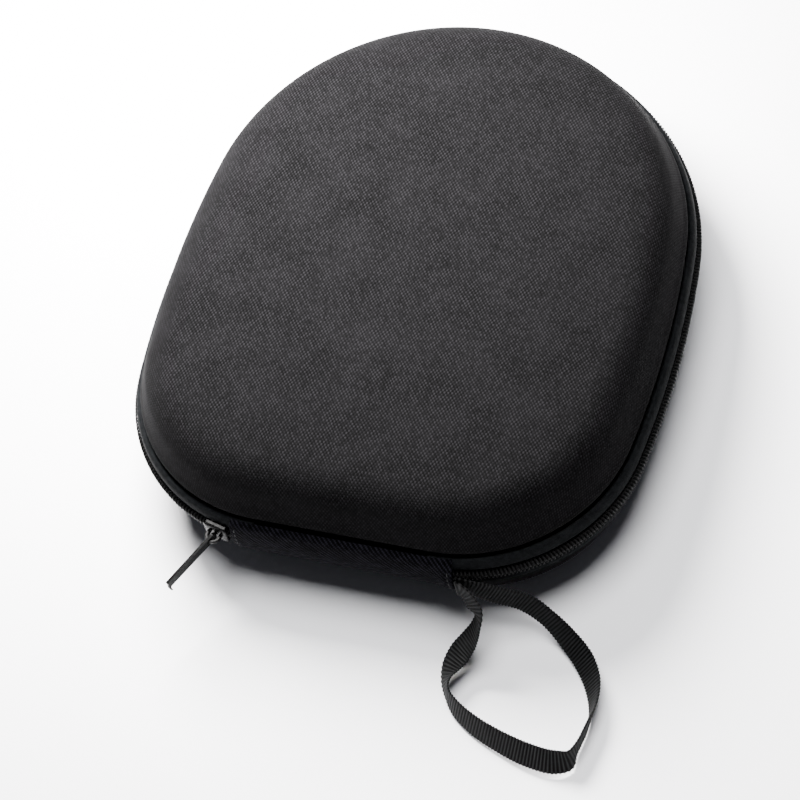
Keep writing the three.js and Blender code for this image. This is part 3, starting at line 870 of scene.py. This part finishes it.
def run_section(name, at, section, side, closed, pucker=0.0):
    """A smooth section carried along the outline, with the cloth coordinates it needs."""
    inset, height = section[:, 0], section[:, 1]
    waves = pucker * np.sin(2 * math.pi * at / 3.1 + 1.3 * np.sin(at / 17.0))
    rings = [place(at, i + waves * (h > PUCKER_HEIGHT), h, side) for i, h in zip(inset, height)]
    piece = sweep(name, np.stack(rings, axis=1), closed=closed)
    across = run_along(section)
    along = np.repeat(at, len(section))
    set_vector(piece, "weave", np.stack([along, np.tile(across, len(at)), 0 * along], axis=-1))
    return piece


def build_tapes():
    """Each side's zip tape, and the binding round its raw edge inside."""
    for prefix, side in (("base", -1), ("lid", 1)):
        at = stations(HINGE_FLAT, -HINGE_FLAT, 0.75)
        tape = run_section(f"{prefix}_tape", at, smooth_closed(TAPE_SECTION, 2), side, False, 0.05)
        finish_piece(tape, prefix, "zip_tape", TAPE, f"{prefix}_zip_tape")
        ring = stations(0, OUTLINE)[:-1]
        edging = run_section(f"{prefix}_edging", ring, smooth_closed(BINDING_SECTION, 1), side, True)
        finish_piece(edging, prefix, "binding", BINDING, f"{prefix}_binding")


build_tapes()

# -------- zip coils


def build_coil(prefix, side, left_end, phase):
    """One side of the chain: a flattened spiral of monofilament whose heads meet the
    other side's between each other."""
    start, end = COIL_START, OUTLINE - left_end
    per_turn = 12
    turns = int((end - start) / COIL_PITCH)
    t = np.arange(turns * per_turn + 1) / per_turn
    angle = 2 * math.pi * t
    # The third harmonics square off the turns, and the lid's side stands further out.
    height = COIL_HEIGHT - COIL_RISE * np.cos(angle) + 0.08 * np.cos(3 * angle)
    inset = COIL_INSET - 0.15 * side + COIL_DEPTH * np.sin(angle) + 0.14 * np.sin(3 * angle)
    at = start + COIL_PITCH * (t + phase)
    line = np.stack([place(a, i, h, side) for a, i, h in zip(at, inset, height)])
    tangent = unit(np.gradient(line, axis=0))
    _, _, nx, ny = outline_at(at)
    along = np.stack([-ny, nx, 0 * nx], axis=-1)
    along = unit(along - tangent * (along * tangent).sum(1)[:, None])
    other = np.cross(tangent, along)
    turn = np.linspace(0, 2 * math.pi, 6, endpoint=False)
    rings = line[:, None, :] + COIL_WIRE * (
        along[:, None, :] * np.cos(turn)[None, :, None] + other[:, None, :] * np.sin(turn)[None, :, None]
    )
    coil = sweep(f"{prefix}_coil", rings)
    finish_piece(coil, prefix, "zip_coil", COIL, f"{prefix}_zip_coil")


build_coil("base", -1, COIL_START, 0.0)
build_coil("lid", 1, PARKING_END, 0.5)

# -------- hinge


# The strip's upper half, as insets and heights; the lower half mirrors it.
STRIP_PROFILE = [(-1.05, 1.4), (-0.85, 3.6), (-0.5, 5.6), (0.0, 7.2), (1.0, 8.4), (2.3, 8.9)]
STRIP_AT = stations(OUTLINE - STRIP_LEFT, STRIP_RIGHT, STRIP_STEP)


def ridge(at, middle):
    """A low ridge of height 1 across the strip."""
    return np.exp(-(((at - middle) / 0.6) ** 2))


def hinge_rings(at, thick):
    """Rings of the hinge strip: over both tapes, swelling over the strap's sewn ends."""
    upper = np.array(STRIP_PROFILE)
    line = smooth_open(np.vstack([(upper * [1, -1])[::-1], upper]), 2)
    away = section_away(line, -1)
    run = np.clip((at - (STRIP_RIGHT - STRIP_SWELL_RUN)) / STRIP_SWELL_RUN, 0, 1)
    swell = STRIP_SWELL * run * run * (3 - 2 * run)
    swell = swell + 0.55 * ridge(at, STRIP_RIGHT - 0.9) - 0.35 * ridge(at, STRIP_RIGHT - 2.3)
    fade = np.clip(1 - (np.abs(line[:, 1]) / 8.6) ** 2.5, 0, 1)
    ends = np.minimum(1, np.sqrt(np.clip((at - at[0]) / 0.6, 0.05, 1)))
    ends = ends * np.minimum(1, np.sqrt(np.clip((at[-1] - at) / 0.6, 0.05, 1)))
    rings = []
    for a, s, e in zip(at, swell, ends):
        outer = line.copy()
        outer[:, 0] -= s * fade
        inner = outer + away * thick * e
        loop = np.vstack([outer, inner[::-1]])
        rings.append(place(np.full(len(loop), a), loop[:, 0], loop[:, 1], 1))
    across = run_along(line)
    return np.stack(rings), np.concatenate([across, across[::-1]])


def bend_with_lid(piece):
    """Bakes a piece's placement into its mesh."""
    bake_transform(piece)


def build_hinge():
    """The woven strip that joins lid and base on the flat side."""
    rings, across = hinge_rings(STRIP_AT - OUTLINE, STRIP_THICK)
    strip = sweep("hinge_webbing", rings)
    along = np.repeat(STRIP_AT, len(across))
    set_vector(strip, "weave", np.stack([along, np.tile(across, len(STRIP_AT)), 0 * along], axis=-1))
    finish_piece(strip, None, "hinge_webbing", TWILL, "hinge_strip")
    bend_with_lid(strip)


build_hinge()


def stitch_line(line, away):
    """Rings of stitches along a dense line: short threads whose ends dip into the cloth,
    against the direction away from it."""
    length, radius, pitch = STITCH_LENGTH, STITCH_RADIUS, STITCH_LENGTH + STITCH_GAP
    run = run_along(line)
    count = int(run[-1] // pitch)
    margin = (run[-1] - count * pitch + STITCH_GAP) / 2
    share = np.linspace(-1, 1, 9)
    turn = np.linspace(0, 2 * math.pi, 8, endpoint=False)
    result = []
    for k in range(count):
        at = margin + k * pitch + length / 2 + share * length / 2
        out = read_along(at, run, away)
        lift = radius * (0.7 - 1.7 * np.abs(share) ** 3)
        centre = read_along(at, run, line) + out * lift[:, None]
        along = unit(np.gradient(centre, axis=0))
        side = unit(np.cross(along, out))
        up = np.cross(side, along)
        thick = radius * np.sqrt(np.clip(1 - np.abs(share) ** 5, 0.05, 1))
        rings = centre[:, None, :] + thick[:, None, None] * (
            side[:, None, :] * np.cos(turn)[None, :, None] + up[:, None, :] * np.sin(turn)[None, :, None]
        )
        result.append(rings)
    return result


def build_hinge_stitches():
    """A seam across each end of the hinge strip."""
    rings, _ = hinge_rings(STRIP_AT - OUTLINE, STRIP_THICK)
    outer = rings[:, : rings.shape[1] // 2]
    away = unit(np.cross(np.gradient(outer, axis=0), np.gradient(outer, axis=1)))
    low = int(np.argmin(np.abs(outer[0, :, 2] - (HALF_HEIGHT - 7.4))))
    high = outer.shape[1] - 1 - low
    bars = []
    for row in (3, outer.shape[0] - 4):
        bars += stitch_line(outer[row, low:high], away[row, low:high])
    stitches = sweep("hinge_stitches", *bars)
    finish_piece(stitches, None, "hinge_webbing", THREAD)
    bend_with_lid(stitches)


build_hinge_stitches()


def build_liner():
    """Folded lining between the rims."""
    at = stations(OUTLINE - LINER_END, LINER_END, 1.0)
    fold = [(10.6, 4.3), (4, 4.3), (1.3, 3.9), (1.1, 0), (1.3, -3.9), (4, -4.3), (10.6, -4.3)]
    line = smooth_open(fold, 2)
    loop = np.vstack([line, (line + section_away(line, 1) * LINER_THICK)[::-1]])
    liner = run_section("hinge_lining", at, loop, 1, False)
    finish_piece(liner, None, "lining", LINING, "hinge_liner")
    bend_with_lid(liner)


build_liner()

# -------- slider and tab


def slider_matrix():
    """X along the zip away from the hinge strip, Y out of the case, Z up."""
    distance = OUTLINE - HINGE_FLAT - SLIDER_ANGLE * CORNER_RADIUS
    x, y, nx, ny = (float(v) for v in outline_at(distance))
    axes = Matrix(((ny, nx, 0), (-nx, ny, 0), (0, 0, 1)))
    return Matrix.Translation(Vector((x, y, HALF_HEIGHT)) * MM) @ axes.to_4x4()


def bevel(piece, width, segments=3):
    """Rounds a piece's edges and keeps the result in its mesh."""
    modifier = piece.modifiers.new("bevel", "BEVEL")
    modifier.width = width * MM
    modifier.segments = segments
    modifier.limit_method = "ANGLE"
    modifier.angle_limit = math.radians(40)
    shown = piece.evaluated_get(bpy.context.evaluated_depsgraph_get())
    mesh = bpy.data.meshes.new_from_object(shown)
    piece.modifiers.clear()
    piece.data = mesh
    mesh.polygons.foreach_set("use_smooth", [p.area < FLAT_AREA for p in mesh.polygons])
    return piece


def prism(name, loops, depth, matrix, lift=0.0):
    """A plate from an outline and its holes in X and Y, centred in Z. The outline and
    each hole have the same number of points where there is a hole."""
    outline = np.asarray(loops[0], float)
    low, high = lift - depth / 2, lift + depth / 2
    count = len(outline)
    if len(loops) == 1:
        vertices = [(x, y, low) for x, y in outline] + [(x, y, high) for x, y in outline]
        faces = [list(range(count))[::-1], list(range(count, 2 * count))]
        faces += [[i, (i + 1) % count, count + (i + 1) % count, count + i] for i in range(count)]
    else:
        hole = np.asarray(loops[1], float)
        rings = [
            [(x, y, low) for x, y in outline],
            [(x, y, high) for x, y in outline],
            [(x, y, high) for x, y in hole],
            [(x, y, low) for x, y in hole],
        ]
        vertices = [p for ring in rings for p in ring]
        faces = grid_faces(4, count, closed=True)
    piece = flip_if_inside_out(add_mesh(name, vertices, faces))
    piece.data.transform(matrix)
    return piece


def arc_points(x, y, radius, start, end, steps):
    """Points on an arc between two angles in degrees."""
    turn = np.radians(np.linspace(start, end, steps))
    return list(zip(x + radius * np.cos(turn), y + radius * np.sin(turn)))


def slider_plan():
    """The plate from outside: rounded, and slightly narrower away from the strip."""
    n, w, r = SLIDER_HALF_LENGTH, SLIDER_HALF_WIDTH, SLIDER_CORNER
    front = w - 0.5
    return (
        arc_points(-n + r, -w + r, r, 180, 270, 7)
        + [(-0.6, -w)]
        + arc_points(n - r, -front + r, r, 270, 360, 7)
        + arc_points(n - r, front - r, r, 0, 90, 7)
        + [(-0.6, w)]
        + arc_points(-n + r, w - r, r, 90, 180, 7)
    )


def build_slider():
    """Outer plate with its flanges, plate behind the chain, and the bail."""
    base = slider_matrix()
    turned = base @ Matrix.Rotation(math.pi / 2, 4, "X")
    n, w = SLIDER_HALF_LENGTH, SLIDER_HALF_WIDTH
    parts = [pebble("slider_plate", slider_plan(), turned)]
    for sign in (-1, 1):
        near, far = sign * (w - 0.8), sign * (w - 0.05)
        rail = [(-n + 0.5, near), (n - 0.9, near), (n - 0.9, far), (-n + 0.5, far)]
        flange = prism(f"slider_flange_{sign + 1}", [rail[::sign]], FLANGE_DEPTH, turned, -0.2)
        parts.append(bevel(flange, 0.34))
    body = join(parts, "slider_front")
    finish_piece(body, "slider", "slider_metal", METAL, "slider_body")
    back = prism("slider_back", [slider_plan()], BACK_PLATE_THICK, turned, BACK_PLATE_LIFT)
    bevel(back, 0.25)
    finish_piece(back, "slider", "slider_metal", METAL, "slider_back_plate")
    outer = [(BAIL_OUTER, BAIL_FOOT)] + arc_points(0, BAIL_PIVOT, BAIL_OUTER, 0, 180, 19)
    inner = [(-BAIL_INNER, BAIL_FOOT)] + arc_points(0, BAIL_PIVOT, BAIL_INNER, 180, 0, 19)
    loop = outer + [(-BAIL_OUTER, BAIL_FOOT)] + inner + [(BAIL_INNER, BAIL_FOOT)]
    bail = prism("slider_loop", [loop], BAIL_WIDTH, base)
    bevel(bail, 0.3)
    finish_piece(bail, "slider", "slider_metal", METAL, "slider_bail")


def pebble(name, plan, matrix):
    """The slider's outer plate: its plan carried up to a rounded, slightly domed top."""
    levels = [(0.96, -0.84), (1.0, -0.92), (1.0, -1.08), (0.98, -1.26), (0.92, -1.44), (0.8, -1.6)]
    levels += [(0.62, -1.72), (0.4, -1.79), (0.2, -1.82)]
    plan = np.asarray(plan)
    rings = [np.column_stack([plan * share, np.full(len(plan), height)]) for share, height in levels]
    piece = sweep(name, np.stack(rings))
    piece.data.transform(matrix)
    return piece


def join(parts, name):
    """Several meshes as one piece."""
    vertices, faces, smooth = [], [], []
    for part in parts:
        offset = len(vertices)
        smooth += [p.use_smooth for p in part.data.polygons]
        vertices += [tuple(v.co) for v in part.data.vertices]
        faces += [[offset + i for i in p.vertices] for p in part.data.polygons]
        bpy.data.objects.remove(part)
    mesh = bpy.data.meshes.new(name)
    mesh.from_pydata(vertices, [], faces)
    mesh.polygons.foreach_set("use_smooth", smooth)
    piece = bpy.data.objects.new(name, mesh)
    bpy.context.scene.collection.objects.link(piece)
    return piece


def build_tab():
    """Slim bar with an eye at one end and a small curled lip at the other."""
    turn = Matrix.Rotation(math.pi / 2 - (TAB_HEADING - SLIDER_ANGLE), 4, "Z")
    tilt = Matrix.Rotation(TAB_DROOP, 4, "Y")
    upright = Matrix.Rotation(math.pi / 2, 4, "X")
    matrix = slider_matrix() @ Matrix.Translation(Vector((0, BAIL_PIVOT, 0)) * MM) @ turn @ tilt @ upright
    steps = 10
    outer = arc_points(0.5, 0, TAB_HALF_WIDTH, 90, 270, 2 * steps)
    outer += [(TAB_LENGTH, -TAB_HALF_WIDTH), (TAB_LENGTH, TAB_HALF_WIDTH)]
    hole = arc_points(1.0, 0, TAB_EYE, 90, 270, steps) + arc_points(3.1, 0, TAB_EYE, -90, 90, steps)
    hole += [(1.0, TAB_EYE)] * 2
    tab = prism("tab_bar", [outer, hole], TAB_THICK, matrix)
    bevel(tab, 0.28)
    lip_line = TAB_LENGTH * np.array([1, 0]) + [(-0.5, -0.9), (-0.1, -2.2), (-0.05, -3.4), (-0.5, -4.6)]
    lip_line = smooth_open(lip_line, 3)
    share = np.linspace(0, 1, len(lip_line))
    thick = section_away(lip_line, 1) * (0.55 * (1 - share) + 0.12)[:, None]
    lip = prism("tab_lip", [np.vstack([lip_line + thick, (lip_line - thick)[::-1]])], 1.0, matrix)
    bevel(lip, 0.12, 2)
    piece = join([tab, lip], "pull_bar")
    finish_piece(piece, "tab", "slider_metal", METAL, "pull_tab")


build_slider()
build_tab()

# -------- net pocket


def pocket_height(x, y):
    """The pocket hangs a little slack between its hem and its elastic."""
    across = np.clip(1 - (x / POCKET_HALF_WIDTH) ** 2, 0, 1)
    along = np.clip((y - POCKET_START) / POCKET_RUN, 0, 1)
    return HALF_HEIGHT + NET_HEIGHT - POCKET_BULGE * across * np.sin(math.pi * along**1.3 * 0.8)


def build_net():
    """Knitted net: zigzag threads that meet their neighbours at each turn."""
    contour = place(stations(0, HALF_OUTLINE, 0.5), NET_INSET + 2.2, 0, 1)
    widest = int(np.argmax(contour[:, 0]))
    contour = contour[: widest + 1]
    count = int(contour[-1, 0] // NET_PITCH)
    bars = []
    for k in range(-count, count + 1):
        start = float(np.interp(abs(k) * NET_PITCH, contour[:, 0], contour[:, 1]))
        y = np.arange(start, NET_END, NET_REPEAT / 10)
        if len(y) < 4:
            continue
        wave = np.clip(1.3 * np.sin(2 * math.pi * y / NET_REPEAT), -1, 1) * (-1) ** k
        x = k * NET_PITCH + wave * NET_PITCH / 2
        line = np.stack([x, y, pocket_height(x, y)], axis=-1)
        along = unit(np.gradient(line, axis=0))
        side = np.stack([along[:, 1], -along[:, 0], 0 * along[:, 0]], axis=-1)
        up = np.array([0, 0, 1.0])
        wide, thick = NET_THREAD
        corners = [side * wide, 0 * side + up * thick, -side * wide, 0 * side - up * thick]
        bars.append(np.stack([line + corner for corner in corners], axis=1))
    return bars


def build_pocket():
    """Net with a sewn hem along the lid's wall, and a gathered elastic at its mouth."""
    half = stations(0, HALF_OUTLINE, 0.5)
    rim = place(half, NET_INSET, 0, 1)
    last = half[int(np.argmax(rim[:, 1] > ELASTIC_END))]
    at = stations(-last + OUTLINE, last, 1.0)
    hem = []
    for inset, lift in ((0, -0.5), (HEM_WIDTH, -0.5), (HEM_WIDTH, 0.5), (0, 0.5)):
        points = place(at, NET_INSET + inset, 0, 1)
        points[:, 2] = pocket_height(points[:, 0], points[:, 1]) + lift
        hem.append(points)
    net = sweep("pocket_mesh", *build_net(), np.stack(hem, axis=1))
    net.data.polygons.foreach_set("use_smooth", [False] * len(net.data.polygons))
    finish_piece(net, "lid", "pocket_net", NET, "lid_pocket_net")
    reach = float(np.max(rim[rim[:, 1] < ELASTIC_END, 0])) - 1.2
    x = np.linspace(-reach, reach, 560)
    wide, thick = ELASTIC_WIDTH, 0.45
    section = smooth_closed([(0, -thick), (wide, -thick), (wide, thick), (0, thick)], 2)
    gather = 0.35 * np.sin(2 * math.pi * x / ELASTIC_GATHER + 0.8 * np.sin(x / 7.0))
    rings = np.empty((len(x), len(section), 3))
    rings[..., 0] = x[:, None]
    rings[..., 1] = ELASTIC_START + section[None, :, 0]
    crimp = np.sin(math.pi * np.clip(section[:, 0] / wide, 0, 1)) ** 0.5
    rings[..., 2] = (
        pocket_height(rings[..., 0], rings[..., 1])
        + section[None, :, 1]
        + gather[:, None] * (0.35 + 0.65 * (1 - crimp))[None, :]
    )
    elastic = sweep("pocket_elastic", rings)
    cloth = rings.reshape(-1, 3) * [1, 1, 0]
    set_vector(elastic, "weave", cloth)
    finish_piece(elastic, "lid", "binding", BINDING, "lid_pocket_elastic")


build_pocket()

# -------- floor and light


def add_floor():
    """A plain pale floor."""
    mesh = bpy.data.meshes.new("floor")
    reach = 6.0
    corners = [(-reach, -reach, 0), (reach, -reach, 0), (reach, reach, 0), (-reach, reach, 0)]
    mesh.from_pydata(corners, [], [(0, 1, 2, 3)])
    floor = bpy.data.objects.new("floor", mesh)
    bpy.context.scene.collection.objects.link(floor)
    n = Nodes("floor_paint")
    cloud = n.noise(n.position(), 2.0, 2.0)
    floor.data.materials.append(
        n.set(Base_Color=n.mix(cloud, (0.90, 0.90, 0.915, 1), (0.93, 0.93, 0.945, 1)), Roughness=0.7)
    )


def add_area(name, direction, distance, size, power, colour):
    """A round lamp that looks at the origin from a direction, in metres and watts."""
    data = bpy.data.lights.new(name, "AREA")
    data.shape = "DISK"
    data.size = size
    data.energy = power
    data.color = colour
    lamp = bpy.data.objects.new(name, data)
    towards = Vector(direction).normalized()
    lamp.location = towards * distance
    lamp.rotation_mode = "QUATERNION"
    lamp.rotation_quaternion = towards.to_track_quat("Z", "Y")
    bpy.context.scene.collection.objects.link(lamp)


def add_lights():
    """A small lamp near the dome's left side, and a large one high above the case."""
    add_area("key", (-0.16, 0.145, 0.31), distance=0.375, size=0.26, power=22.5, colour=(1.0, 0.985, 0.975))
    add_area("overhead", (0.05, 0.06, 1.0), distance=1.9, size=1.1, power=70, colour=(0.985, 0.985, 1.0))
    world = bpy.data.worlds.new("studio")
    world.use_nodes = True
    background = world.node_tree.nodes["Background"]
    background.inputs["Color"].default_value = (0.86, 0.88, 1.0, 1.0)
    background.inputs["Strength"].default_value = 0.06
    bpy.context.scene.world = world


add_floor()
add_lights()
